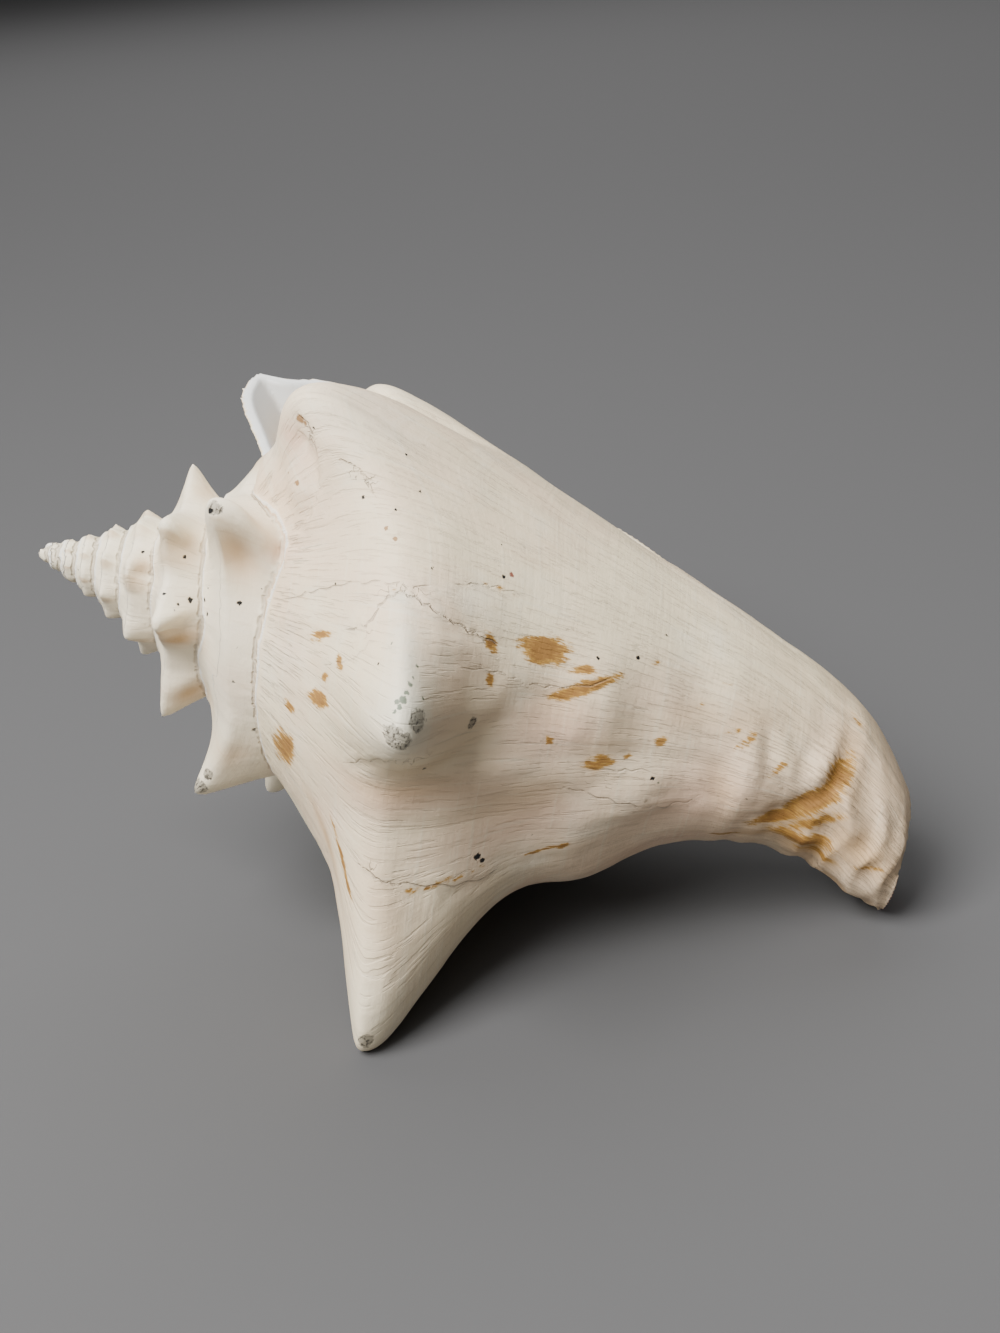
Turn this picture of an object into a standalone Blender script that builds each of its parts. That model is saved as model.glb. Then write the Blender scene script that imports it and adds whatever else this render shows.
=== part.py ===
# Conch shell, one piece: a coiled shell resting on two back spines and the end of its canal.
# The shell is a profile in a half plane through the coiling axis, swept round that axis while it grows.
# Growth angles are in degrees, 0 is the side that shows in front, and growth ends at the lip.
# Shape dimensions are in millimetres; rest_matrix() makes them metres and stands the shell up. Z is up.

import bpy
import bmesh
import numpy as np
from mathutils import Matrix, Vector

MM = 0.001
NAME = "conch_shell"

# Coiling: length along the axis, where the lip ends, and how fast each line of the coil grows per turn
SHELL_LENGTH = 205.0
APEX_TURN = -8.1
LIP_ANGLE = 220.0
SUTURE_ALONG, SUTURE_RADIUS = 55.8, 30.0
SUTURE_RATE_ALONG = (0.30, 0.31)
SUTURE_RATE_RADIUS = (0.355, 0.47)
SHOULDER_ALONG, SHOULDER_RADIUS = 86.0, 55.0
SHOULDER_RATE_ALONG, SHOULDER_RATE_RADIUS = 0.33, 0.47

# Profile: ramp from suture to shoulder, then from shoulder to canal as shares of the rest
RAMP = ((0.0, 0.0), (0.22, 0.27), (0.50, 0.60), (0.78, 0.90), (1.0, 1.0))
STATIONS = (0.06, 0.15, 0.25, 0.36, 0.48, 0.60, 0.72, 0.83, 0.93, 1.0)
BODY_SHARE = (0.978, 0.900, 0.796, 0.691, 0.582, 0.491, 0.406, 0.345, 0.300, 0.245)
CORE_SHARE = (0.985, 0.90, 0.735, 0.52, 0.345, 0.25, 0.205, 0.18, 0.16, 0.12)
LIP_ALONG = (50, 42.5, 33.5, 25.5, 26, 34.5, 45, 61, 82, 101, 120, 140, 160, 182, 204)
LIP_RADIUS = (31, 47, 65, 82, 95, 96.5, 99.8, 98, 92, 80.5, 68, 55, 41.5, 28.5, 14)
LIP_FLARE_FROM = 120.0

# The canal bends towards the back
BEND_FROM, BEND_SPAN, BEND_TOWARDS = 60.0, 140.0, 95.0
BEND_EASY, BEND_END = 2.0, 19.5

# Wall and hollow
WALL = 3.4
LIP_WALL = 3.2
HOLLOW_FROM = 0.0

# Spines: growth angle, tip along, tip radius, reach before and after it in growth, skirt towards the
# suture and towards the canal, sharpness, profile place
SPINES = (
    (-105, 68.0, 55.0, 16, 14, 11, 22, 1.9, 4.3),
    (-46, 59.0, 60.5, 12, 11, 22, 18, 1.35, 3.7),
    (14.5, 93.0, 80.5, 12.5, 7.5, 9, 10, 1.25, 4.5),
    (70, 96.5, 94.0, 13, 12, 6.2, 16, 1.25, 4.3),
    (128, 94.0, 71.3, 14, 10, 10, 16, 1.4, 3.9),
    (182, 93.0, 79.0, 17, 15, 15, 20, 1.7, 4.2),
    (-440, 50.5, 36.0, 9, 9, 3, 6, 1.6, 4.2),
    (-381, 43.5, 43.0, 6.0, 5.5, 5, 14, 1.15, 3.7),
    (-275, 47.0, 46.5, 7.0, 6.0, 6, 7, 1.15, 3.4),
    (-229, 59.0, 60.5, 6.0, 5.5, 4.5, 7, 1.2, 3.8),
    (-490, 41.0, 37.0, 6.5, 6, 4, 6, 1.3, 3.6),
    (-540, 39.0, 36.0, 6.0, 5.5, 4, 6, 1.3, 3.6),
    (-588, 38.0, 33.0, 5.6, 5, 4, 6, 1.3, 3.5),
    (-635, 35.6, 30.8, 5.4, 4.5, 2.8, 7, 1.3, 3.5),
    (-698, 34.7, 30.0, 5.2, 4.5, 3.6, 7, 1.3, 3.4),
    (-742, 31.9, 29.2, 5.2, 4.5, 3.6, 7, 1.3, 3.4),
    (-797, 31.2, 26.8, 4.6, 4.2, 2.6, 6, 1.3, 3.5),
    (-848, 29.0, 25.0, 4.6, 4.2, 3.4, 6, 1.3, 3.4),
    (-903, 28.0, 23.5, 4.4, 4.0, 3.2, 5, 1.3, 3.4),
    (-960, 26.0, 21.0, 4.2, 3.8, 3.0, 5, 1.3, 3.4),
    (-1020, 25.0, 17.5, 3.8, 3.4, 2.8, 4.5, 1.3, 3.4),
    (-1078, 24.0, 17.5, 3.8, 3.4, 2.8, 4.5, 1.3, 3.4),
)
EARLY_SPINE_FIRST, EARLY_SPINE_STEP, EARLY_SPINE_COUNT = -1126.0, 46.0, 38
BLUNT_BIG, BLUNT_SMALL = 0.40, 0.18

# Low swellings of the body and canal: growth angle, profile place, height, half width, half length
SWELLINGS = (
    (78, 8.3, 4.5, 14, 12),
    (52, 8.0, 3.0, 9, 10),
    (40, 10.3, 3.0, 8, 8),
    (5, 8.2, 2.0, 12, 10),
    (118, 8.4, 4.0, 13, 11),
    (165, 8.2, 3.0, 13, 11),
    (15, 12.2, 2.0, 6, 6),
    (-45, 0.9, 3.5, 6, 4.5),
    (-76, 4.7, -4.5, 9, 13),
    (-88, 12.6, 3.0, 18, 22),
    (43, 8.85, 2.2, 6, 8),
    (32, 6.8, 1.5, 6, 14),
    (28, 13.4, 2.0, 12, 6),
    (64, 12.8, 2.0, 9, 6),
)

# Rings round the canal
FOLD_HEIGHT, FOLD_PITCH, FOLD_FROM = 0.35, 9.0, 150.0

# Resting pose in shell coordinates (along, down, away): up, the front and the shift that centres it
UP = (-0.27853, -0.87492, -0.39616)
FRONT = (0.0, 0.0, -1.0)
PLACE = (-0.09589, 0.0007, 0.09361)

# Mesh
ROUND_STEP = 2.5
PROFILE_POINTS = 96
NORMAL_EASE = 3
VOXEL = 1.0
TRIANGLES = 9300
SOFTENING = 2

# The block that cuts the three resting points flat, metres
FLOOR_SIDE, FLOOR_DEPTH = 0.5, 0.1


def clear_scene():
    """Remove every object, so the build starts from nothing."""
    for obj in list(bpy.data.objects):
        bpy.data.objects.remove(obj, do_unlink=True)


def collection(name):
    """Return a collection of this name, linked to the scene."""
    found = bpy.data.collections.get(name)
    if found is None:
        found = bpy.data.collections.new(name)
        bpy.context.scene.collection.children.link(found)
    return found


def smooth(a, b, x):
    """Ease from 0 at a to 1 at b."""
    x = np.clip((x - a) / (b - a), 0.0, 1.0)
    return x * x * (3.0 - 2.0 * x)


def growth(rates, turn):
    """Logarithm of the size against growth angle 0, for a rate that rises with age."""
    grid = np.linspace(-12.0, 1.5, 2701)
    rate = rates[0] + (rates[1] - rates[0]) * smooth(-1.3, -0.1, grid)
    steps = (rate[1:] + rate[:-1]) / 2.0 * np.diff(grid)
    total = np.concatenate([[0.0], np.cumsum(steps)])
    return np.interp(turn, grid, total) - np.interp(0.0, grid, total)


def suture(turn):
    """Where a whorl meets the one before it, as (along, radius)."""
    along = SUTURE_ALONG * np.exp(growth(SUTURE_RATE_ALONG, turn))
    along = along - 7.0 * np.exp(-along / 14.0)
    radius = SUTURE_RADIUS * np.exp(growth(SUTURE_RATE_RADIUS, turn))
    return along, radius


def shoulder(turn):
    """The widest line of a whorl, as (along, radius)."""
    along_next, radius_next = suture(turn + 1.0)
    late = smooth(-1.15, -0.35, turn)
    along = SHOULDER_ALONG * np.exp(SHOULDER_RATE_ALONG * turn)
    radius = SHOULDER_RADIUS * np.exp(SHOULDER_RATE_RADIUS * turn)
    return (0.87 * along_next * (1 - late) + along * late,
            0.99 * radius_next * (1 - late) + radius * late)


def controls(turn):
    """Control points of one profile, from suture to canal, as rows of (along, radius)."""
    su, sr = suture(turn)
    hu, hr = shoulder(turn)
    ramp = np.array(RAMP)
    ramp = np.stack([su + ramp[:, 0] * (hu - su), sr + ramp[:, 1] * (hr - sr)], -1)
    share = np.array(STATIONS)
    late = smooth(-0.75, -0.36, turn)
    body = np.array(BODY_SHARE) * SHOULDER_RADIUS
    body = body * np.exp(SHOULDER_RATE_RADIUS * turn * (1.0 - 0.45 * share))
    inner = np.array(CORE_SHARE) * hr
    front = np.stack([hu + share * (SHELL_LENGTH - hu), body * late + inner * (1 - late)], -1)
    points = np.concatenate([ramp, front])
    lip = np.stack([np.array(LIP_ALONG, float), np.array(LIP_RADIUS, float)], -1)
    flare = np.clip((turn * 360.0 - LIP_FLARE_FROM) / (LIP_ANGLE - LIP_FLARE_FROM), 0.0, 1.0)
    flare = (0.35 * flare + 0.65 * flare ** 2.2) * smooth(100.0, 150.0, turn * 360.0)
    return points * (1 - flare) + lip * flare


def through(points, count):
    """Smooth curve through the control points, with count samples."""
    spans = len(points) - 1
    ends = np.concatenate([[2 * points[0] - points[1]], points, [2 * points[-1] - points[-2]]])
    x = np.linspace(0, spans, count)
    i = np.minimum(x.astype(int), spans - 1)
    f = (x - i)[:, None]
    a, b, c, d = ends[i], ends[i + 1], ends[i + 2], ends[i + 3]
    cubic = (3 * b - a - 3 * c + d) * f ** 3
    return 0.5 * (2 * b + (c - a) * f + (2 * a - 5 * b + 4 * c - d) * f ** 2 + cubic)


def spine_list():
    """Every spine, the early ones sized from the whorl that carries them."""
    spines = list(SPINES)
    for k in range(EARLY_SPINE_COUNT):
        angle = EARLY_SPINE_FIRST - EARLY_SPINE_STEP * k
        u, r = shoulder(angle / 360.0)
        spines.append((angle, u * 0.92, r * 1.17, r * 0.24, r * 0.20, r * 0.17, r * 0.27, 1.35, 3.5))
    return spines


def arc_lengths(profiles):
    """Length along each profile from its suture."""
    steps = np.linalg.norm(np.diff(profiles, axis=1), axis=2)
    return np.concatenate([np.zeros((len(profiles), 1)), np.cumsum(steps, 1)], 1)


def profiles_at(angles, count):
    """Outside profiles with spines, swellings and canal folds, as (angle, sample, along and radius)."""
    plain = np.stack([through(controls(a / 360.0), count) for a in angles])
    arc = arc_lengths(plain)
    spans = len(RAMP) + len(STATIONS) - 1
    shaped = plain.copy()
    for angle, tip_u, tip_r, before, after, behind, ahead, sharp, place_on in spine_list():
        fine = through(controls(angle / 360.0), 281)
        foot = fine[int(round(place_on * 280 / spans))]
        across = (angles - angle) * np.pi / 180.0 * foot[1]
        near = np.where((across > -6 * before) & (across < 6 * after))[0]
        if len(near) == 0:
            continue
        j = int(round(place_on * (count - 1) / spans))
        offset = arc[near] - arc[near, j:j + 1]
        reach = np.where(across[near] < 0, before, after)
        d = np.hypot((across[near] / reach)[:, None], offset / np.where(offset < 0, behind, ahead))
        blunt = BLUNT_BIG if tip_r > 50 else BLUNT_SMALL
        d = np.sqrt(d * d + blunt * blunt) - blunt
        pull = np.exp(-1.1 * d ** sharp)
        shaped[near] += pull[..., None] * (np.array([tip_u, tip_r]) - foot)
    for angle, place_on, height, width, length in SWELLINGS:
        foot = through(controls(angle / 360.0), 281)[int(round(place_on * 280 / spans))]
        across = (angles - angle) * np.pi / 180.0 * foot[1]
        j = int(round(place_on * (count - 1) / spans))
        d2 = (across[:, None] / width) ** 2 + ((arc - arc[:, j:j + 1]) / length) ** 2
        shaped[..., 1] += height * np.exp(-d2)
    turns = plain[..., 0] / FOLD_PITCH + angles[:, None] / 500.0
    folds = np.sin(2 * np.pi * turns + 1.2 * np.sin(1.7 * turns))
    outer = smooth(-40.0, 40.0, angles)[:, None] * smooth(FOLD_FROM, FOLD_FROM + 25, plain[..., 0])
    shaped[..., 1] += FOLD_HEIGHT * folds * outer
    return shaped


def on_axis(angle, along, radius):
    """Shell coordinates (along, down, away) of points given by growth angle and profile."""
    a = np.radians(angle)
    x = np.clip((along - BEND_FROM) / BEND_SPAN, 0.0, 1.1)
    bend = BEND_EASY * x + BEND_END * x ** 6
    b = np.radians(BEND_TOWARDS)
    down = radius * np.sin(a) + bend * np.sin(b)
    away = -radius * np.cos(a) - bend * np.cos(b)
    return np.stack([along + 0 * a, down, away], -1)


def rest_matrix():
    """Turn from shell coordinates to the resting pose, metres."""
    up = Vector(UP).normalized()
    back = -(Vector(FRONT) - up * up.dot(Vector(FRONT))).normalized()
    right = back.cross(up)
    turn = Matrix((right, back, up)).to_4x4()
    return Matrix.Translation(Vector(PLACE)) @ turn @ Matrix.Scale(MM, 4)


def inward(profiles, walls):
    """The inside profile, moved by the wall thickness along the profile's normal."""
    slope = np.gradient(profiles, axis=1)
    slope /= np.linalg.norm(slope, axis=2, keepdims=True)
    normal = np.stack([-slope[..., 1], slope[..., 0]], -1)
    count = 2 * NORMAL_EASE + 1
    wide = np.pad(normal, ((0, 0), (NORMAL_EASE, NORMAL_EASE), (0, 0)), "edge")
    normal = sum(wide[:, k:k + normal.shape[1]] for k in range(count)) / count
    return profiles - normal * walls[..., None]


def swept(name, angles, outside, inside):
    """Closed band between two families of profiles, swept through the growth angles."""
    mesh = bmesh.new()
    matrix = rest_matrix()
    rings = []
    for angle, outer, inner in zip(angles, outside, inside):
        loop = np.concatenate([outer, inner[::-1]])
        points = on_axis(np.full(len(loop), angle), loop[:, 0], loop[:, 1])
        rings.append([mesh.verts.new(matrix @ Vector(p)) for p in points])
    n = len(rings[0])
    for a, b in zip(rings[:-1], rings[1:]):
        for k in range(n):
            mesh.faces.new((a[k], a[(k + 1) % n], b[(k + 1) % n], b[k]))
    for ring, turned in ((rings[0], True), (rings[-1], False)):
        for k in range(n // 2 - 1):
            quad = [ring[k], ring[k + 1], ring[n - 2 - k], ring[n - 1 - k]]
            mesh.faces.new(quad[::-1] if turned else quad)
    bmesh.ops.recalc_face_normals(mesh, faces=mesh.faces)
    data = bpy.data.meshes.new(name)
    mesh.to_mesh(data)
    mesh.free()
    obj = bpy.data.objects.new(name, data)
    collection("guides").objects.link(obj)
    obj.hide_render = True
    obj.display_type = "WIRE"
    return obj


def early_whorls():
    """Solid coil from the apex to where the hollow begins."""
    angles = np.arange(APEX_TURN * 360.0, HOLLOW_FROM + 12.0 + 0.01, ROUND_STEP)
    outside = profiles_at(angles, PROFILE_POINTS)
    inside = outside.copy()
    inside[..., 1] = -1.0
    return swept("early_whorls", angles, outside, inside)


def last_whorl():
    """Wall of the last whorl with its flared lip, open inside."""
    angles = np.arange(HOLLOW_FROM, LIP_ANGLE + 0.01, ROUND_STEP)
    outside = profiles_at(angles, PROFILE_POINTS)
    towards_lip = smooth(150.0, LIP_ANGLE, angles)[:, None]
    walls = WALL + (LIP_WALL - WALL) * towards_lip + np.zeros(outside.shape[:2])
    return swept("last_whorl", angles, outside, inward(outside, walls))


def evaluated(obj, name):
    """A plain copy of the object with its modifiers applied."""
    graph = bpy.context.evaluated_depsgraph_get()
    data = bpy.data.meshes.new_from_object(obj.evaluated_get(graph))
    data.name = name
    return data


def biggest_piece(data):
    """Keep only the largest connected body of the mesh."""
    mesh = bmesh.new()
    mesh.from_mesh(data)
    left = set(mesh.verts)
    bodies = []
    while left:
        seed = left.pop()
        body, queue = {seed}, [seed]
        while queue:
            for edge in queue.pop().link_edges:
                for v in edge.verts:
                    if v in left:
                        left.discard(v)
                        body.add(v)
                        queue.append(v)
        bodies.append(body)
    bodies.sort(key=len, reverse=True)
    for body in bodies[1:]:
        bmesh.ops.delete(mesh, geom=list(body), context="VERTS")
    mesh.to_mesh(data)
    mesh.free()


def shell_material():
    """Chalky ivory shell."""
    mat = bpy.data.materials.new("shell_chalk")
    mat.use_nodes = True
    bsdf = mat.node_tree.nodes["Principled BSDF"]
    bsdf.inputs["Base Color"].default_value = (0.72, 0.62, 0.52, 1.0)
    bsdf.inputs["Roughness"].default_value = 0.55
    mat.diffuse_color = (0.72, 0.62, 0.52, 1.0)
    return mat


def main():
    clear_scene()
    guides = [early_whorls(), last_whorl()]
    merged = bmesh.new()
    for guide in guides:
        merged.from_mesh(guide.data)
    data = bpy.data.meshes.new("merged")
    merged.to_mesh(data)
    merged.free()
    blank = bpy.data.objects.new("merged", data)
    collection("guides").objects.link(blank)
    blank.hide_render = True
    blank.display_type = "WIRE"
    remesh = blank.modifiers.new("union", "REMESH")
    remesh.mode = "VOXEL"
    remesh.voxel_size = VOXEL * MM
    soften = blank.modifiers.new("soften", "SMOOTH")
    soften.factor = 0.5
    soften.iterations = SOFTENING
    fine = evaluated(blank, "fine")
    biggest_piece(fine)
    faces = 2 * len(fine.polygons)
    shell = bpy.data.objects.new(NAME, fine)
    collection(NAME).objects.link(shell)
    thin = shell.modifiers.new("facets", "DECIMATE")
    thin.ratio = TRIANGLES / faces
    thin.use_collapse_triangulate = True
    shell.data = evaluated(shell, "facets")
    shell.modifiers.clear()
    cutter_data = bpy.data.meshes.new("floor_cut")
    box = bmesh.new()
    bmesh.ops.create_cube(box, size=1.0)
    bmesh.ops.scale(box, vec=(FLOOR_SIDE, FLOOR_SIDE, FLOOR_DEPTH), verts=box.verts)
    bmesh.ops.translate(box, vec=(0.0, 0.0, -FLOOR_DEPTH / 2), verts=box.verts)
    box.to_mesh(cutter_data)
    box.free()
    cutter = bpy.data.objects.new("floor_cut", cutter_data)
    collection("guides").objects.link(cutter)
    cutter.hide_render = True
    cutter.display_type = "WIRE"
    flat = shell.modifiers.new("rest", "BOOLEAN")
    flat.operation = "DIFFERENCE"
    flat.solver = "EXACT"
    flat.object = cutter
    shell.data = evaluated(shell, NAME)
    shell.modifiers.clear()
    biggest_piece(shell.data)
    tri = bmesh.new()
    tri.from_mesh(shell.data)
    bmesh.ops.triangulate(tri, faces=tri.faces)
    tri.to_mesh(shell.data)
    tri.free()
    shell.data.materials.clear()
    shell.data.materials.append(shell_material())
    shell.data.shade_smooth()
    for guide in guides + [blank]:
        bpy.data.objects.remove(guide, do_unlink=True)


if __name__ == "__main__":
    main()
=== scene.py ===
"""Conch shell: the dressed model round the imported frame, laid out as a Blender add-on and run as a script.

Growth angles are in degrees, 0 faces the camera and growth ends at the lip. Lengths in the shell's own
coordinates (along the coiling axis, down in the picture, away from the camera) are in millimetres.
"""

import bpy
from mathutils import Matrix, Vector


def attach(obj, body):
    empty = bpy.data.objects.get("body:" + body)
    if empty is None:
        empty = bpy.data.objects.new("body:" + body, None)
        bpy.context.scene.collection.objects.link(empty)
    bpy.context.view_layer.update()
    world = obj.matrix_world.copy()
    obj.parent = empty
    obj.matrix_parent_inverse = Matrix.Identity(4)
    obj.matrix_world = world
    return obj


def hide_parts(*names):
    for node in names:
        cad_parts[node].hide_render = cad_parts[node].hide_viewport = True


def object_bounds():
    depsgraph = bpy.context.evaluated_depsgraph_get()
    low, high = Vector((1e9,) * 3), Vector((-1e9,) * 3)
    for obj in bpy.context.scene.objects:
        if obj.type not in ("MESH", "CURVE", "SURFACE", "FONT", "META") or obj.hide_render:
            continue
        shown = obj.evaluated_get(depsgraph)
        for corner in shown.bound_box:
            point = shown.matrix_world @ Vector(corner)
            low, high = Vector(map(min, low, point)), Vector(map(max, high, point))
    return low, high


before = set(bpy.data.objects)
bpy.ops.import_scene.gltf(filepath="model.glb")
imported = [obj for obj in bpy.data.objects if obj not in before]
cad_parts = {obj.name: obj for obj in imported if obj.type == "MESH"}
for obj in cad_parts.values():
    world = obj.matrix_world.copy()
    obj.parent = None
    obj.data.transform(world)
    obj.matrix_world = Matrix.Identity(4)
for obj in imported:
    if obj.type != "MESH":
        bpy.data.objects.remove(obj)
CAD_BOX = [list(map(float, corner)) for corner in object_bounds()]

import math

import bmesh
import bpy
import numpy as np
from mathutils import Matrix, Vector, noise
from mathutils.bvhtree import BVHTree
from mathutils.kdtree import KDTree

bl_info = {
    "name": "Conch Shell",
    "version": (1, 0, 0),
    "blender": (4, 5, 0),
    "location": "View3D > Sidebar > Conch",
    "description": "Builds a spiny conch shell with growth lines, stains and a smooth pink mouth",
    "category": "Add Mesh",
}

MM = 0.001
NODE = "conch_shell"

# Coiling, the same values as the solid model's
SHELL_LENGTH = 205.0
APEX_TURN = -8.1
LIP_ANGLE = 220.0
SUTURE_ALONG, SUTURE_RADIUS = 55.8, 30.0
SUTURE_RATE_ALONG = (0.30, 0.31)
SUTURE_RATE_RADIUS = (0.355, 0.47)
SHOULDER_ALONG, SHOULDER_RADIUS = 86.0, 55.0
SHOULDER_RATE_ALONG, SHOULDER_RATE_RADIUS = 0.33, 0.47

# Profile: ramp from suture to shoulder, then from shoulder to canal as shares of the rest
RAMP = ((0.0, 0.0), (0.22, 0.27), (0.50, 0.60), (0.78, 0.90), (1.0, 1.0))
STATIONS = (0.06, 0.15, 0.25, 0.36, 0.48, 0.60, 0.72, 0.83, 0.93, 1.0)
BODY_SHARE = (0.978, 0.900, 0.796, 0.691, 0.582, 0.491, 0.406, 0.345, 0.300, 0.245)
CORE_SHARE = (0.985, 0.90, 0.735, 0.52, 0.345, 0.25, 0.205, 0.18, 0.16, 0.12)
LIP_ALONG = (50, 42.5, 33.5, 25.5, 26, 34.5, 45, 61, 82, 101, 120, 140, 160, 182, 204)
LIP_RADIUS = (31, 47, 65, 82, 95, 96.5, 99.8, 98, 92, 80.5, 68, 55, 41.5, 28.5, 14)
LIP_FLARE_FROM = 120.0
BEND_FROM, BEND_SPAN, BEND_TOWARDS = 60.0, 140.0, 95.0
BEND_EASY, BEND_END = 2.0, 19.5
HOLLOW_FROM = 0.0

# Spines: growth angle, tip along, tip radius, reach before and after it in growth, skirt towards the
# suture and towards the canal, sharpness, profile place
SPINES = (
    (-105, 68.0, 55.0, 16, 14, 11, 22, 1.9, 4.3),
    (-46, 59.0, 60.5, 12, 11, 22, 18, 1.35, 3.7),
    (14.5, 93.0, 80.5, 12.5, 7.5, 9, 10, 1.25, 4.5),
    (70, 96.5, 94.0, 13, 12, 6.2, 16, 1.25, 4.3),
    (128, 94.0, 71.3, 14, 10, 10, 16, 1.4, 3.9),
    (182, 93.0, 79.0, 17, 15, 15, 20, 1.7, 4.2),
    (-440, 50.5, 36.0, 9, 9, 3, 6, 1.6, 4.2),
    (-381, 43.5, 43.0, 6.0, 5.5, 5, 14, 1.15, 3.7),
    (-275, 47.0, 46.5, 7.0, 6.0, 6, 7, 1.15, 3.4),
    (-229, 59.0, 60.5, 6.0, 5.5, 4.5, 7, 1.2, 3.8),
    (-490, 41.0, 37.0, 6.5, 6, 4, 6, 1.3, 3.6),
    (-540, 39.0, 36.0, 6.0, 5.5, 4, 6, 1.3, 3.6),
    (-588, 38.0, 33.0, 5.6, 5, 4, 6, 1.3, 3.5),
    (-635, 35.6, 30.8, 5.4, 4.5, 2.8, 7, 1.3, 3.5),
    (-698, 34.7, 30.0, 5.2, 4.5, 3.6, 7, 1.3, 3.4),
    (-742, 31.9, 29.2, 5.2, 4.5, 3.6, 7, 1.3, 3.4),
    (-797, 31.2, 26.8, 4.6, 4.2, 2.6, 6, 1.3, 3.5),
    (-848, 29.0, 25.0, 4.6, 4.2, 3.4, 6, 1.3, 3.4),
    (-903, 28.0, 23.5, 4.4, 4.0, 3.2, 5, 1.3, 3.4),
    (-960, 26.0, 21.0, 4.2, 3.8, 3.0, 5, 1.3, 3.4),
    (-1020, 25.0, 17.5, 3.8, 3.4, 2.8, 4.5, 1.3, 3.4),
    (-1078, 24.0, 17.5, 3.8, 3.4, 2.8, 4.5, 1.3, 3.4),
)
EARLY_SPINE_FIRST, EARLY_SPINE_STEP, EARLY_SPINE_COUNT = -1126.0, 46.0, 38
BLUNT_BIG, BLUNT_SMALL = 0.40, 0.18

# Low swellings of the body and canal: growth angle, profile place, height, half width, half length
SWELLINGS = (
    (78, 8.3, 4.5, 14, 12),
    (52, 8.0, 3.0, 9, 10),
    (40, 10.3, 3.0, 8, 8),
    (5, 8.2, 2.0, 12, 10),
    (118, 8.4, 4.0, 13, 11),
    (165, 8.2, 3.0, 13, 11),
    (15, 12.2, 2.0, 6, 6),
    (-45, 0.9, 3.5, 6, 4.5),
    (-76, 4.7, -4.5, 9, 13),
    (-88, 12.6, 3.0, 18, 22),
    (43, 8.85, 2.2, 6, 8),
    (32, 6.8, 1.5, 6, 14),
    (28, 13.4, 2.0, 12, 6),
    (64, 12.8, 2.0, 9, 6),
)
FOLD_HEIGHT, FOLD_PITCH, FOLD_FROM = 0.35, 9.0, 150.0

# Rings near the end of the canal
RING_HEIGHT, RING_PITCH = 1.1, 6.5

# Resting pose in shell coordinates: up, the front and the shift that centres it
UP = (-0.27853, -0.87492, -0.39616)
FRONT = (0.0, 0.0, -1.0)
PLACE = (-0.09589, 0.0007, 0.09361)

# The photograph: frame, focal length in pixels, the apex in it and the slope of the coiling axis
PHOTO_WIDTH, PHOTO_HEIGHT = 1000.0, 1333.0
FOCAL_PIXELS = 1800.0
SENSOR = 36.0
APEX_X, APEX_Y = 38.0, 551.0
APEX_DISTANCE = 410.0
AXIS_SLOPE = math.atan2(0.208, 0.978)

# Mesh fineness
ROUND_STEP = 1.5
PROFILE_POINTS = 150
NORMAL_EASE = 4
VOXEL = 0.75
TRIANGLES = 188000

# How far inside the solid model's box the skin stays, metres
EDGE_GAP = 0.00002

# Fine relief in mm: slow waves, grain, growth ripples, the seam's thread and its groove
WAVE_HEIGHT, GRAIN_HEIGHT, RIPPLE_HEIGHT = 0.45, 0.10, 0.26
THREAD_HEIGHT, GROOVE_DEPTH = 0.45, 0.30

# A mark falls to a half at its edge; a crack and the seam are followed this far, mm
EDGE_FALL = 0.69
CRACK_REACH, SEAM_REACH = 3.0, 9.0

# Stage: where the lights stand and face, their sizes, metres, and the room's light
MIDDLE = (0.0, 0.0, 0.07)
LIGHTS = (
    ("overhead", (-0.50, -0.55, 1.05), MIDDLE, 0.75, "key_power"),
    ("back_room", (-0.1, 2.5, 2.4), (-0.1, 2.5, 0.0), 3.4, "back_power"),
    ("front_fill", (-0.55, -1.15, 0.72), MIDDLE, 0.8, "fill_power"),
)
ROOM_COLOUR, ROOM_STRENGTH = (0.82, 0.82, 0.82, 1.0), 0.13
FLOOR_HALF = 25.0


def smooth(a, b, x):
    """Ease from 0 at a to 1 at b."""
    x = np.clip((x - a) / (b - a), 0.0, 1.0)
    return x * x * (3.0 - 2.0 * x)


def growth(rates, turn):
    """Logarithm of the size against growth angle 0, for a rate that rises with age."""
    grid = np.linspace(-12.0, 1.5, 2701)
    rate = rates[0] + (rates[1] - rates[0]) * smooth(-1.3, -0.1, grid)
    steps = (rate[1:] + rate[:-1]) / 2.0 * np.diff(grid)
    total = np.concatenate([[0.0], np.cumsum(steps)])
    return np.interp(turn, grid, total) - np.interp(0.0, grid, total)


def suture(turn):
    """Where a whorl meets the one before it, as (along, radius)."""
    along = SUTURE_ALONG * np.exp(growth(SUTURE_RATE_ALONG, turn))
    along = along - 7.0 * np.exp(-along / 14.0)
    radius = SUTURE_RADIUS * np.exp(growth(SUTURE_RATE_RADIUS, turn))
    return along, radius


def shoulder(turn):
    """The widest line of a whorl, as (along, radius)."""
    along_next, radius_next = suture(turn + 1.0)
    late = smooth(-1.15, -0.35, turn)
    along = SHOULDER_ALONG * np.exp(SHOULDER_RATE_ALONG * turn)
    radius = SHOULDER_RADIUS * np.exp(SHOULDER_RATE_RADIUS * turn)
    return (0.87 * along_next * (1 - late) + along * late,
            0.99 * radius_next * (1 - late) + radius * late)


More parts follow.
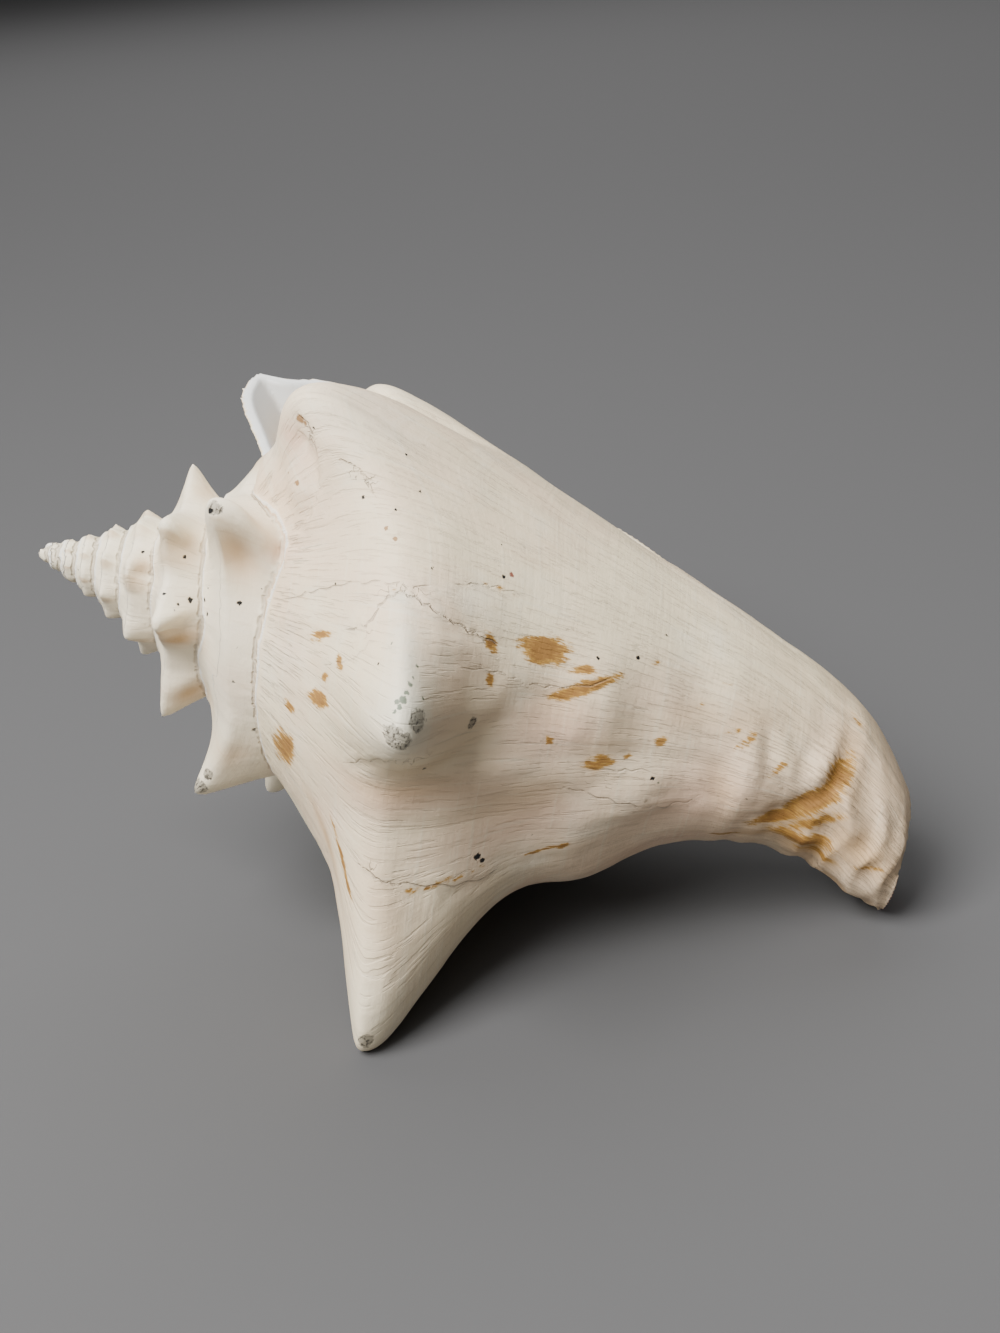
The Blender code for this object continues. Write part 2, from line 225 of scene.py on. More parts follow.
def controls(turn):
    """Control points of one profile, from suture to canal, as rows of (along, radius)."""
    su, sr = suture(turn)
    hu, hr = shoulder(turn)
    ramp = np.array(RAMP)
    ramp = np.stack([su + ramp[:, 0] * (hu - su), sr + ramp[:, 1] * (hr - sr)], -1)
    share = np.array(STATIONS)
    late = smooth(-0.75, -0.36, turn)
    body = np.array(BODY_SHARE) * SHOULDER_RADIUS
    body = body * np.exp(SHOULDER_RATE_RADIUS * turn * (1.0 - 0.45 * share))
    inner = np.array(CORE_SHARE) * hr
    front = np.stack([hu + share * (SHELL_LENGTH - hu), body * late + inner * (1 - late)], -1)
    points = np.concatenate([ramp, front])
    lip = np.stack([np.array(LIP_ALONG, float), np.array(LIP_RADIUS, float)], -1)
    flare = np.clip((turn * 360.0 - LIP_FLARE_FROM) / (LIP_ANGLE - LIP_FLARE_FROM), 0.0, 1.0)
    flare = (0.35 * flare + 0.65 * flare ** 2.2) * smooth(100.0, 150.0, turn * 360.0)
    return points * (1 - flare) + lip * flare


def through(points, count):
    """Smooth curve through the control points, with count samples."""
    spans = len(points) - 1
    ends = np.concatenate([[2 * points[0] - points[1]], points, [2 * points[-1] - points[-2]]])
    x = np.linspace(0, spans, count)
    i = np.minimum(x.astype(int), spans - 1)
    f = (x - i)[:, None]
    a, b, c, d = ends[i], ends[i + 1], ends[i + 2], ends[i + 3]
    cubic = (3 * b - a - 3 * c + d) * f ** 3
    return 0.5 * (2 * b + (c - a) * f + (2 * a - 5 * b + 4 * c - d) * f ** 2 + cubic)


def spine_list():
    """Every spine, the early ones sized from the whorl that carries them."""
    spines = list(SPINES)
    for k in range(EARLY_SPINE_COUNT):
        angle = EARLY_SPINE_FIRST - EARLY_SPINE_STEP * k
        u, r = shoulder(angle / 360.0)
        spines.append((angle, u * 0.92, r * 1.17, r * 0.24, r * 0.20, r * 0.17, r * 0.27, 1.35, 3.5))
    return spines


def arc_lengths(profiles):
    """Length along each profile from its suture."""
    steps = np.linalg.norm(np.diff(profiles, axis=1), axis=2)
    return np.concatenate([np.zeros((len(profiles), 1)), np.cumsum(steps, 1)], 1)


def profiles_at(angles, count):
    """Outside profiles with spines, swellings and folds, their arc lengths, and how far each point is in a
    spine and in its lee, the side that grew later."""
    plain = np.stack([through(controls(a / 360.0), count) for a in angles])
    arc = arc_lengths(plain)
    spans = len(RAMP) + len(STATIONS) - 1
    shaped = plain.copy()
    in_spine, lee = np.zeros(arc.shape), np.zeros(arc.shape)
    for angle, tip_u, tip_r, before, after, behind, ahead, sharp, place_on in spine_list():
        fine = through(controls(angle / 360.0), 281)
        foot = fine[int(round(place_on * 280 / spans))]
        across = (angles - angle) * np.pi / 180.0 * foot[1]
        near = np.where((across > -6 * before) & (across < 6 * after))[0]
        if len(near) == 0:
            continue
        j = int(round(place_on * (count - 1) / spans))
        offset = arc[near] - arc[near, j:j + 1]
        reach = np.where(across[near] < 0, before, after)
        d = np.hypot((across[near] / reach)[:, None], offset / np.where(offset < 0, behind, ahead))
        blunt = BLUNT_BIG if tip_r > 50 else BLUNT_SMALL
        d = np.sqrt(d * d + blunt * blunt) - blunt
        pull = np.exp(-1.1 * d ** sharp)
        in_spine[near] = np.maximum(in_spine[near], pull)
        lee[near] = np.maximum(lee[near], pull * smooth(0.0, 0.4 * after, across[near])[:, None])
        shaped[near] += pull[..., None] * (np.array([tip_u, tip_r]) - foot)
    for angle, place_on, height, width, length in SWELLINGS:
        foot = through(controls(angle / 360.0), 281)[int(round(place_on * 280 / spans))]
        across = (angles - angle) * np.pi / 180.0 * foot[1]
        j = int(round(place_on * (count - 1) / spans))
        d2 = (across[:, None] / width) ** 2 + ((arc - arc[:, j:j + 1]) / length) ** 2
        shaped[..., 1] += height * np.exp(-d2)
    turns = plain[..., 0] / FOLD_PITCH + angles[:, None] / 500.0
    folds = np.sin(2 * np.pi * turns + 1.2 * np.sin(1.7 * turns))
    outer = smooth(-40.0, 40.0, angles)[:, None] * smooth(FOLD_FROM, FOLD_FROM + 25, plain[..., 0])
    shaped[..., 1] += FOLD_HEIGHT * folds * outer
    return shaped, arc, in_spine, lee


def on_axis(angle, along, radius):
    """Shell coordinates (along, down, away) of points given by growth angle and profile."""
    a = np.radians(angle)
    x = np.clip((along - BEND_FROM) / BEND_SPAN, 0.0, 1.1)
    bend = BEND_EASY * x + BEND_END * x ** 6
    b = np.radians(BEND_TOWARDS)
    down = radius * np.sin(a) + bend * np.sin(b)
    away = -radius * np.cos(a) - bend * np.cos(b)
    return np.stack([along + 0 * a, down, away], -1)


def rest_matrix():
    """Turn from shell coordinates to the resting pose, metres."""
    up = Vector(UP).normalized()
    back = -(Vector(FRONT) - up * up.dot(Vector(FRONT))).normalized()
    right = back.cross(up)
    turn = Matrix((right, back, up)).to_4x4()
    return Matrix.Translation(Vector(PLACE)) @ turn @ Matrix.Scale(MM, 4)


def photo_camera_matrix():
    """The photograph's camera in the shell's resting pose."""
    s, c = math.sin(AXIS_SLOPE), math.cos(AXIS_SLOPE)
    apex = Vector(((APEX_X - PHOTO_WIDTH / 2) * APEX_DISTANCE / FOCAL_PIXELS,
                   (APEX_Y - PHOTO_HEIGHT / 2) * APEX_DISTANCE / FOCAL_PIXELS, APEX_DISTANCE))
    along, down, away = Vector((c, s, 0)), Vector((-s, c, 0)), Vector((0, 0, 1))
    eye = Vector((-apex.dot(along), -apex.dot(down), -apex.dot(away)))
    rest = rest_matrix()
    turn = rest.to_3x3().normalized()
    axes = Matrix([turn @ Vector(axis) for axis in ((c, -s, 0), (-s, -c, 0), (0, 0, -1))]).transposed()
    return Matrix.Translation(rest @ eye) @ axes.to_4x4()


def inward(profiles, walls):
    """The inside profile, moved by the wall thickness along the profile's normal."""
    slope = np.gradient(profiles, axis=1)
    slope /= np.linalg.norm(slope, axis=2, keepdims=True)
    normal = np.stack([-slope[..., 1], slope[..., 0]], -1)
    count = 2 * NORMAL_EASE + 1
    wide = np.pad(normal, ((0, 0), (NORMAL_EASE, NORMAL_EASE), (0, 0)), "edge")
    normal = sum(wide[:, k:k + normal.shape[1]] for k in range(count)) / count
    return profiles - normal * walls[..., None]


class Guide:
    """The shell's outside as a plain grid, used to tell where on the shell a point is."""

    def __init__(self, step, count):
        self.angles = np.arange(APEX_TURN * 360.0, LIP_ANGLE + 0.01, step)
        self.profiles, self.arc, self.in_spine, self.lee = profiles_at(self.angles, count)
        self.points = on_axis(self.angles[:, None], self.profiles[..., 0], self.profiles[..., 1])
        radius = np.array([shoulder(a / 360.0)[1] for a in self.angles])
        self.travel = np.concatenate([[0.0], np.cumsum(radius[1:] * math.radians(step))])
        self.count = count
        rows, columns = self.points.shape[:2]
        i, j = np.meshgrid(np.arange(rows - 1), np.arange(columns - 1), indexing="ij")
        first = (i * columns + j).ravel()
        quads = np.stack([first, first + 1, first + columns + 1, first + columns], -1)
        self.tree = BVHTree.FromPolygons(self.points.reshape(-1, 3).tolist(), quads.tolist())

    def locate(self, points, normals):
        """Fractional (row, column) of the nearest guide point, and how far the surface faces inwards."""
        columns = self.count - 1
        rows = np.zeros(len(points))
        cells = np.zeros(len(points))
        inside = np.zeros(len(points))
        hits = np.zeros((len(points), 3))
        for k, p in enumerate(points):
            hit, normal, face, _ = self.tree.find_nearest(Vector(p))
            rows[k] = face // columns
            cells[k] = face % columns
            hits[k] = hit
            inside[k] = normal.dot(Vector(normals[k]))
        i, j = rows.astype(int), cells.astype(int)
        origin, beside = self.points[i, j], self.points[i, j + 1]
        later, far = self.points[i + 1, j], self.points[i + 1, j + 1]
        a = (later + far) / 2 - (origin + beside) / 2
        b = (beside + far) / 2 - (origin + later) / 2
        d = hits - origin
        aa, bb, ab = (a * a).sum(1), (b * b).sum(1), (a * b).sum(1)
        da, db = (d * a).sum(1), (d * b).sum(1)
        det = np.maximum(aa * bb - ab * ab, 1e-12)
        fi = np.clip((da * bb - db * ab) / det, 0, 1)
        fj = np.clip((db * aa - da * ab) / det, 0, 1)
        return i + fi, j + fj, inside

    def read(self, table, rows, columns):
        """A value of the guide's grid at fractional places."""
        i = np.minimum(rows.astype(int), table.shape[0] - 2)
        j = np.minimum(columns.astype(int), table.shape[1] - 2)
        fi, fj = rows - i, columns - j
        low = table[i, j] * (1 - fj) + table[i, j + 1] * fj
        high = table[i + 1, j] * (1 - fj) + table[i + 1, j + 1] * fj
        return low * (1 - fi) + high * fi


def swept(mesh, angles, outside, inside):
    """Add a closed band between two families of profiles, swept through the growth angles, in millimetres."""
    rings = []
    for angle, outer, inner in zip(angles, outside, inside):
        loop = np.concatenate([outer, inner[::-1]])
        points = on_axis(np.full(len(loop), angle), loop[:, 0], loop[:, 1])
        rings.append([mesh.verts.new(p) for p in points.tolist()])
    n = len(rings[0])
    for a, b in zip(rings[:-1], rings[1:]):
        for k in range(n):
            mesh.faces.new((a[k], a[(k + 1) % n], b[(k + 1) % n], b[k]))
    for ring, turned in ((rings[0], True), (rings[-1], False)):
        for k in range(n // 2 - 1):
            quad = [ring[k], ring[k + 1], ring[n - 2 - k], ring[n - 1 - k]]
            mesh.faces.new(quad[::-1] if turned else quad)


def coil_body(sizes):
    """Both parts of the coil as one mesh of overlapping closed bodies."""
    mesh = bmesh.new()
    early = np.arange(APEX_TURN * 360.0, HOLLOW_FROM + 12.0 + 0.01, ROUND_STEP)
    outside = profiles_at(early, PROFILE_POINTS)[0]
    inside = outside.copy()
    inside[..., 1] = -1.0
    swept(mesh, early, outside, inside)
    late = np.arange(HOLLOW_FROM, LIP_ANGLE + 0.01, ROUND_STEP)
    outside = profiles_at(late, PROFILE_POINTS)[0]
    towards_lip = smooth(150.0, LIP_ANGLE, late)[:, None]
    wall, lip_wall = sizes.wall / MM, sizes.lip_wall / MM
    walls = wall + (lip_wall - wall) * towards_lip + np.zeros(outside.shape[:2])
    swept(mesh, late, outside, inward(outside, walls))
    bmesh.ops.recalc_face_normals(mesh, faces=mesh.faces)
    data = bpy.data.meshes.new("coil_body")
    mesh.to_mesh(data)
    mesh.free()
    return data


def evaluated(obj, name):
    """A plain copy of the object with its modifiers applied."""
    graph = bpy.context.evaluated_depsgraph_get()
    data = bpy.data.meshes.new_from_object(obj.evaluated_get(graph))
    data.name = name
    return data


def biggest_piece(data):
    """Keep only the largest connected body of the mesh."""
    mesh = bmesh.new()
    mesh.from_mesh(data)
    left = set(mesh.verts)
    bodies = []
    while left:
        seed = left.pop()
        body, queue = {seed}, [seed]
        while queue:
            for edge in queue.pop().link_edges:
                for v in edge.verts:
                    if v in left:
                        left.discard(v)
                        body.add(v)
                        queue.append(v)
        bodies.append(body)
    bodies.sort(key=len, reverse=True)
    for body in bodies[1:]:
        bmesh.ops.delete(mesh, geom=list(body), context="VERTS")
    mesh.to_mesh(data)
    mesh.free()


def united(data):
    """The overlapping bodies as one closed skin, thinned out to the triangle budget."""
    obj = bpy.data.objects.new("united", data)
    bpy.context.scene.collection.objects.link(obj)
    union = obj.modifiers.new("union", "REMESH")
    union.mode = "VOXEL"
    union.voxel_size = VOXEL
    soften = obj.modifiers.new("soften", "SMOOTH")
    soften.factor = 0.5
    soften.iterations = 3
    obj.data = evaluated(obj, "skin")
    obj.modifiers.clear()
    biggest_piece(obj.data)
    thin = obj.modifiers.new("thin", "DECIMATE")
    thin.ratio = min(1.0, TRIANGLES / (2.0 * len(obj.data.polygons)))
    result = evaluated(obj, "shell_skin")
    bpy.data.objects.remove(obj, do_unlink=True)
    return result


def vertex_rows(data, name):
    """Vertex places ("co") or normals ("normal") as an array."""
    values = np.empty(len(data.vertices) * 3)
    data.vertices.foreach_get(name, values)
    return values.reshape(-1, 3)


def store(data, name, values):
    """Keep one number per vertex on the mesh for the material to read."""
    layer = data.attributes.new(name, "FLOAT", "POINT")
    layer.data.foreach_set("value", np.ascontiguousarray(values, dtype=np.float32))


# Marks read from the photograph, by pixel of its 1000 x 1333 frame
# Ochre stains: x, y, half length and half width in mm, tilt in degrees (clockwise), strength
STAINS = (
    (544, 650, 5, 2.7, 4, 1.25), (585, 688, 7.6, 1.3, -14, 1.1), (584, 670, 2.8, 1.1, 0, 0.95),
    (491, 642, 2.3, 1.3, 55, 0.95), (490, 680, 1.1, 1.6, 0, 0.9), (321, 635, 3.9, 0.9, 0, 1.05),
    (339, 663, 2, 1.5, 40, 0.9), (325, 677, 1.8, 0.8, 0, 0.9), (319, 699, 3.8, 1.8, 0, 1.1),
    (290, 705, 2, 1.4, -25, 1.1), (283, 746, 5.2, 2.8, -30, 1.3), (598, 763, 3.4, 1.4, 0, 1.1),
    (630, 757, 1.3, 0.8, 0, 0.95), (661, 741, 1.6, 1, -15, 1.05), (549, 742, 1.1, 0.9, 0, 1),
    (655, 663, 1.1, 0.6, 0, 0.9), (747, 741, 2.8, 1, -35, 0.85), (778, 815, 5.6, 1.5, -10, 1.15),
    (815, 800, 6.2, 2.4, -32, 1.25), (840, 776, 5, 2.2, -62, 1.2), (800, 841, 7.5, 2, 24, 1),
    (780, 768, 3, 0.9, -35, 0.8), (868, 868, 3.4, 0.6, -6, 0.85), (343, 862, 9, 0.8, 64, 1),
    (440, 884, 9.5, 0.5, 2, 0.95), (540, 850, 4.5, 0.5, -16, 0.85), (563, 846, 1.5, 0.7, -20, 0.95),
    (306, 596, 1.4, 0.5, 0, 0.9), (497, 588, 4.2, 0.6, 12, 0.95), (402, 590, 2.2, 0.5, 5, 0.85),
    (735, 731, 2, 0.7, 0, 0.8), (196, 704, 4.2, 1.5, -22, 0.9), (730, 833, 4.5, 0.8, 2, 0.85),
    (812, 824, 7.5, 1.5, -25, 0.8), (818, 850, 6, 1.5, 20, 0.75), (858, 722, 2.6, 0.7, 80, 0.8),
    (700, 706, 1.5, 0.6, -40, 0.7), (728, 684, 1.6, 0.6, 0, 0.75),
)
# Specks of each colour: x, y, radius in mm
SPECKS = {
    "black": ((480, 854, 0.72), (485, 858, 0.55), (314, 427, 0.5), (505, 574, 0.4), (427, 767, 0.5),
        (655, 776, 0.45), (749, 797, 0.35), (211, 508, 0.7), (242, 600, 0.45), (208, 585, 0.4),
        (207, 611, 0.55), (192, 597, 0.45), (223, 650, 0.35), (255, 729, 0.6), (187, 554, 0.35),
        (78, 568, 0.35), (145, 550, 0.35), (408, 453, 0.35), (422, 489, 0.35), (365, 494, 0.35),
        (398, 507, 0.3), (503, 543, 0.25), (332, 495, 0.3), (325, 502, 0.3), (282, 469, 0.3),
        (205, 597, 0.45), (166, 591, 0.35), (180, 602, 0.3), (238, 646, 0.3), (222, 634, 0.35),
        (434, 565, 0.3), (336, 581, 0.3), (640, 655, 0.35), (668, 633, 0.3), (600, 655, 0.3),
        (432, 762, 0.3), (380, 660, 0.25), (387, 819, 0.35), (459, 799, 0.25), (424, 633, 0.3),
        (264, 586, 0.35)),
    "brown": ((300, 417, 1.1), (304, 421, 0.8), (388, 525, 0.4), (397, 536, 0.45), (298, 480, 0.6),
        (288, 470, 0.4)),
    "red": ((513, 572, 0.5),),
    "green": ((411, 682, 0.6), (408, 690, 0.5), (405, 697, 0.7), (402, 704, 0.5), (414, 676, 0.4),
        (423, 695, 0.45), (661, 780, 0.3), (394, 640, 0.25), (418, 664, 0.5), (399, 699, 0.45),
        (420, 680, 0.35), (396, 708, 0.4)),
}
# Fine cracks and growth breaks, and one fold edge whose dark line is painted shadow: step height in mm, how
# dark, and the pixels they run through
LINES = (
    (0.25, 0.9, ((352, 628), (368, 622), (380, 602), (400, 593), (424, 602), (445, 616), (470, 630),
                 (492, 641))),
    (0.12, 0.6, ((296, 597), (322, 590), (345, 584), (385, 583), (420, 588))),
    (0.08, 0.4, ((466, 584), (490, 586), (516, 592))),
    (0.20, 0.8, ((366, 868), (380, 881), (400, 884), (450, 886), (488, 876))),
    (0.15, 0.6, ((352, 762), (380, 761), (405, 764), (425, 757))),
    (0.10, 0.4, ((596, 768), (618, 770), (642, 768))),
    (0.10, 1.0, ((347, 462), (360, 472), (368, 486))),
    (0.12, 0.4, ((470, 668), (500, 674), (530, 684), (560, 688), (600, 684))),
    # The fold edge beside the knob: its darkness is painted shadow, its step is relief.
    (0.40, 0.3, ((300, 438), (313, 458), (318, 486), (312, 512), (300, 536), (284, 556))),
    (0.15, 0.9, ((304, 420), (309, 436), (315, 454))),
    (0.10, 0.3, ((330, 664), (352, 660), (368, 640))),
    (0.12, 0.5, ((570, 788), (610, 800), (650, 806), (690, 800))),
)
# Worn spots and the two ends of the front spine's pale crest: x, y, radius in mm
WORN = (
    (391, 737, 2.6), (402, 743, 2.2), (419, 722, 2.4), (214, 507, 1.9), (472, 722, 1.3), (366, 1042, 2),
    (199, 788, 2.2), (208, 775, 1.6),
)
WORN_CREST = ((401, 600, 2.0), (412, 715, 4.2))
CREST_SPOTS = 9
# Pink tints, and tan marks that are partly the shell's own tan and partly painted shade on the undersides of
# spines, canal and lower body: x, y, half length and half width in mm, tilt, strength
PINKS = (
    (294, 440, 4.2, 2.6, 60, 1), (277, 553, 2.6, 1.8, -40, 0.8), (330, 560, 10, 9, 0, 0.35),
    (700, 800, 10, 7, 0, 1), (660, 840, 16, 4, -5, 0.6), (400, 940, 9, 14, 0, 0.3),
    (820, 880, 9, 4, 20, 0.8), (235, 690, 4, 7, 0, 0.3), (450, 850, 12, 6, 0, 0.5),
    (330, 810, 6, 8, 60, 0.5), (560, 728, 10, 6, 0, 0.95), (400, 800, 14, 5, 0, 0.9),
    (530, 820, 14, 5, -5, 0.7), (640, 700, 8, 5, 0, 0.35), (290, 640, 5, 14, 0, 0.35),
)
TAN_AND_SHADE_MARKS = (
    (240, 556, 5.4, 3.2, 60, 0.9), (186, 545, 2.4, 2, 0, 0.6), (178, 640, 4.2, 1.9, 10, 1),
    (142, 568, 2.2, 1.8, 0, 0.7), (190, 692, 4, 2.6, -30, 0.85), (232, 755, 5.5, 3.2, -50, 0.5),
    (805, 822, 9, 3.4, -22, 0.9), (812, 848, 7, 3.4, 15, 1), (850, 750, 5, 3, -70, 0.6),
    (760, 832, 6, 1.8, 0, 0.8), (870, 872, 7, 1.6, -8, 0.6), (860, 905, 7, 2, -8, 0.6),
    (560, 706, 5, 4, 0, 0.35), (745, 720, 8, 4, 0, 0.35), (380, 905, 12, 3, 80, 0.25),
    (420, 770, 14, 3, 5, 0.35), (856, 852, 8, 5, 40, 0.9), (835, 880, 7, 2.5, 10, 0.7),
    (852, 790, 5, 3, -70, 0.5), (700, 715, 9, 3, -5, 0.35), (327, 838, 9, 1.4, 62, 0.9),
    (400, 792, 12, 4, 3, 0.5), (520, 798, 12, 4.5, -4, 0.4), (610, 745, 8, 3, -5, 0.3),
    (266, 548, 3, 1.4, -55, 0.5), (723, 790, 6, 3, 80, 0.5),
)
# Colours of the seam's thread, the scattered dots and the specks, how far specks are bent and the
# depth of the surface's grain, metres
THREAD_WHITE = (0.90, 0.87, 0.80)
DOT_GREY = (0.10, 0.115, 0.085)
SPECK_BLACK, SPECK_GREEN, SPECK_RED = (0.012, 0.011, 0.010), (0.055, 0.105, 0.062), (0.22, 0.035, 0.020)
WOBBLE = (0.0009, 0.0009, 0.0009)
BUMP = 0.0006

# Lumps and hollows: x, y, half length and half width in mm, tilt, height in mm
LUMPS = (
    (299, 489, 3.8, 2.7, 80, 1.7), (262, 480, 8.5, 3.2, 82, 1.3), (552, 705, 5, 4, 0, -0.7),
    (578, 722, 5, 3, 80, 0.5), (608, 716, 6, 2.4, 85, 0.4), (640, 788, 8, 4.5, 0, 1.3),
    (722, 786, 7, 3.4, 80, -1.5), (752, 772, 6.5, 3.6, 80, 1.3), (771, 752, 5, 1.8, 70, -0.6),
    (788, 772, 6, 2.6, 70, 1), (775, 812, 5, 1.7, -10, -0.9), (812, 797, 5, 1.8, -30, -1.1),
    (842, 765, 5.5, 1.7, -64, -1), (818, 770, 5, 2.4, -55, 0.9), (866, 742, 7, 3.6, -75, 0.9),
    (800, 836, 6, 1.8, 18, 0.9), (806, 858, 5.5, 1.4, 22, -0.7), (820, 874, 6, 1.6, 18, 0.8),
    (842, 892, 5, 1.2, 8, -0.5), (866, 858, 7, 1.7, -14, 0.5), (893, 800, 4, 3, 85, 1),
    (380, 640, 12, 4.2, 85, -0.5), (432, 668, 10, 4.5, 80, -0.4), (401, 650, 12, 1.8, 86, 0.6),
    (500, 690, 7, 3, -20, 0.5), (480, 740, 8, 3, -12, -0.5), (700, 700, 8, 5, 70, -0.6),
    (670, 690, 8, 4, 75, 0.5), (640, 720, 9, 4, 75, -0.5), (740, 690, 8, 4, 70, 0.5),
    (500, 770, 9, 2.6, 4, 0.5), (560, 760, 9, 2.6, -8, -0.4), (238, 516, 6.5, 1.7, 22, 2.3),
    (240, 560, 5.2, 3.6, 62, -3.6), (256, 606, 6, 4, 80, -1.1), (232, 700, 7, 3.5, 80, -0.8),
    (176, 529, 3.6, 1.3, 12, 1), (182, 547, 3.4, 2.4, 30, -1.5), (134, 563, 2.8, 1.1, 12, 0.8),
    (141, 574, 2.6, 1.7, 20, -1), (170, 618, 4, 1.3, -14, 0.9), (178, 633, 4.2, 2.2, 8, -1.5),
    (190, 680, 5, 2, -35, 0.8), (206, 690, 4.5, 2.8, -50, -1.1), (350, 412, 9, 1.9, 20, 1.2),
    (300, 446, 5.5, 2.8, 78, -1.8), (340, 440, 8, 4, 50, -0.6), (226, 745, 7, 1.8, -58, 0.8),
    (384, 930, 14, 2.2, 88, 0.5), (330, 880, 9, 2.5, 70, 0.3), (420, 900, 10, 4, 70, -0.4),
    (366, 486, 8, 6, 60, -0.5),
)


class Photo:
    """Rays from the photograph's camera onto the skin of the shell."""

    def __init__(self, data):
        self.camera = photo_camera_matrix()
        points = vertex_rows(data, "co")
        faces = [tuple(p.vertices) for p in data.polygons]
        self.tree = BVHTree.FromPolygons(points.tolist(), faces)

    def hit(self, x, y):
        """Where the pixel's ray meets the shell, and the surface's normal there."""
        ray = Vector(((x - PHOTO_WIDTH / 2) / FOCAL_PIXELS, (PHOTO_HEIGHT / 2 - y) / FOCAL_PIXELS, -1.0))
        towards = (self.camera.to_3x3() @ ray).normalized()
        place, normal, _, _ = self.tree.ray_cast(self.camera.translation, towards)
        if place is None:
            return None, None
        if normal.dot(towards) > 0:
            normal = -normal
        return place, normal

    def axes(self, normal, tilt):
        """Unit directions in the surface, along a line at that tilt in the picture and square to it."""
        a = math.radians(tilt)
        line = self.camera.to_3x3() @ Vector((math.cos(a), -math.sin(a), 0.0))
        line = (line - normal * line.dot(normal)).normalized()
        return line, normal.cross(line)


def mark_field(photo, points, marks, summed=False):
    """How deep each point is in marks of one kind: 1 in the middle of a mark, a half at its edge."""
    field = np.zeros(len(points))
    for x, y, half_length, half_width, tilt, strength in marks:
        centre, normal = photo.hit(x, y)
        if centre is None:
            continue
        line, side = photo.axes(normal, tilt)
        d = points - np.array(centre)
        a = d @ np.array(line) / (half_length * MM)
        b = d @ np.array(side) / (half_width * MM)
        c = d @ np.array(normal) / ((half_length + half_width) * MM)
        mark = strength * np.exp(-EDGE_FALL * (a * a + b * b + c * c))
        field = field + mark if summed else np.maximum(field, mark)
    return field


def line_fields(photo, points):
    """For each point: signed distance in mm to the nearest listed line, its nearness, its step, its darkness;
    the lines are cracks and growth breaks, and at one fold edge the darkness is painted shadow.
    """
    side, best = np.full(len(points), CRACK_REACH), np.full(len(points), SEAM_REACH)
    step, dark = np.zeros(len(points)), np.zeros(len(points))
    for height, darkness, pixels in LINES:
        run = through(np.array(pixels, float), 12 * len(pixels))
        k = np.arange(len(run))
        run = run + np.stack([1.3 * np.sin(0.9 * k), 1.6 * np.sin(0.7 * k + 1.0)], -1)
        hits = [photo.hit(x, y) for x, y in run]
        hits = [h for h in hits if h[0] is not None]
        places = np.array([h[0] for h in hits])
        normals = np.array([h[1] for h in hits])
        across = np.cross(normals, np.gradient(places, axis=0))
        across /= np.linalg.norm(across, axis=1, keepdims=True) + 1e-12
        low, high = places.min(0) - 0.009, places.max(0) + 0.009
        near = np.where(((points > low) & (points < high)).all(1))[0]
        gaps = np.linalg.norm(points[near, None] - places[None], axis=2)
        pick = gaps.argmin(1)
        distance = gaps[np.arange(len(near)), pick] / MM
        closer = distance < best[near]
        best[near[closer]] = distance[closer]
        signed = ((points[near] - places[pick]) * across[pick]).sum(1) / MM
        side[near[closer]] = signed[closer]
        step[near[closer]], dark[near[closer]] = height, darkness
    nearness = 1 - smooth(1.6, 2.8, best)
    return np.clip(side, -CRACK_REACH, CRACK_REACH), nearness, step, dark * nearness


def spot_field(photo, points, spots):
    """How deep each point is in round spots."""
    field = np.zeros(len(points))
    for x, y, radius in spots:
        centre, _ = photo.hit(x, y)
        if centre is not None:
            gap = np.linalg.norm(points - np.array(centre), axis=1) / (radius * MM)
            field = np.maximum(field, np.exp(-EDGE_FALL * gap ** 2))
    return field


def seam_field(data, points, angle):
    """Signed distance in mm to the seam between whorls, positive on the newer whorl."""
    ends = np.empty(len(data.edges) * 2, dtype=np.int64)
    data.edges.foreach_get("vertices", ends)
    ends = ends.reshape(-1, 2)
    ends = ends[np.abs(angle[ends[:, 0]] - angle[ends[:, 1]]) > 180.0]
    tree = KDTree(len(ends))
    for k, (a, b) in enumerate(ends):
        tree.insert((points[a] + points[b]) / 2, k)
    tree.balance()
    newer = angle[ends].max(1)
    field = np.zeros(len(points))
    for k, p in enumerate(points):
        _, seam, gap = tree.find(p)
        field[k] = gap if abs(angle[k] - newer[seam]) < 180.0 else -gap
    return np.clip(field, -SEAM_REACH, SEAM_REACH)


def noise_at(places):
    """Smooth noise at each place."""
    return np.array([noise.noise(Vector(p)) for p in places])


def relief(points, normals, fields, lumps, line_side, line_near, line_step):
    """Points moved by small heights: lumps, ripples, canal rings, the seam's thread, growth breaks."""
    angle, travel, across, seam = fields["turn"] * 360.0, fields["travel"], fields["across"], fields["seam"]
    waves = noise_at(points * 38.0) + 0.6 * noise_at(points * 90.0)
    height = (WAVE_HEIGHT * waves + GRAIN_HEIGHT * noise_at(points * 240.0)) * (1 - 0.5 * fields["spine"])
    ripple = noise_at(np.stack([travel / 6.5, across / 34.0, 0 * travel + 2.0], -1))
    ripple += 0.6 * noise_at(np.stack([travel / 2.9, across / 20.0, 0 * travel + 8.0], -1))
    height += RIPPLE_HEIGHT * ripple * smooth(-200.0, -60.0, angle)
    wander = noise_at(points * 60.0)
    rings = 1 - np.abs(np.sin(np.pi * (across / RING_PITCH + angle / 300.0 + 0.7 * wander)))
    on_canal = smooth(128.0, 150.0, across) * smooth(-60.0, 0.0, angle) * smooth(125.0, 80.0, angle)
    height += RING_HEIGHT * (rings - 0.4) * on_canal
    thread = THREAD_HEIGHT * np.exp(-((seam - 1.1) / 0.7) ** 2) - GROOVE_DEPTH * np.exp(-(seam / 0.8) ** 2)
    height += thread * smooth(190.0, 165.0, angle)
    height += lumps + line_step * np.tanh(line_side / 0.5) * line_near
    return points + normals * (height * (1 - fields["mouth"]) * MM)[:, None]


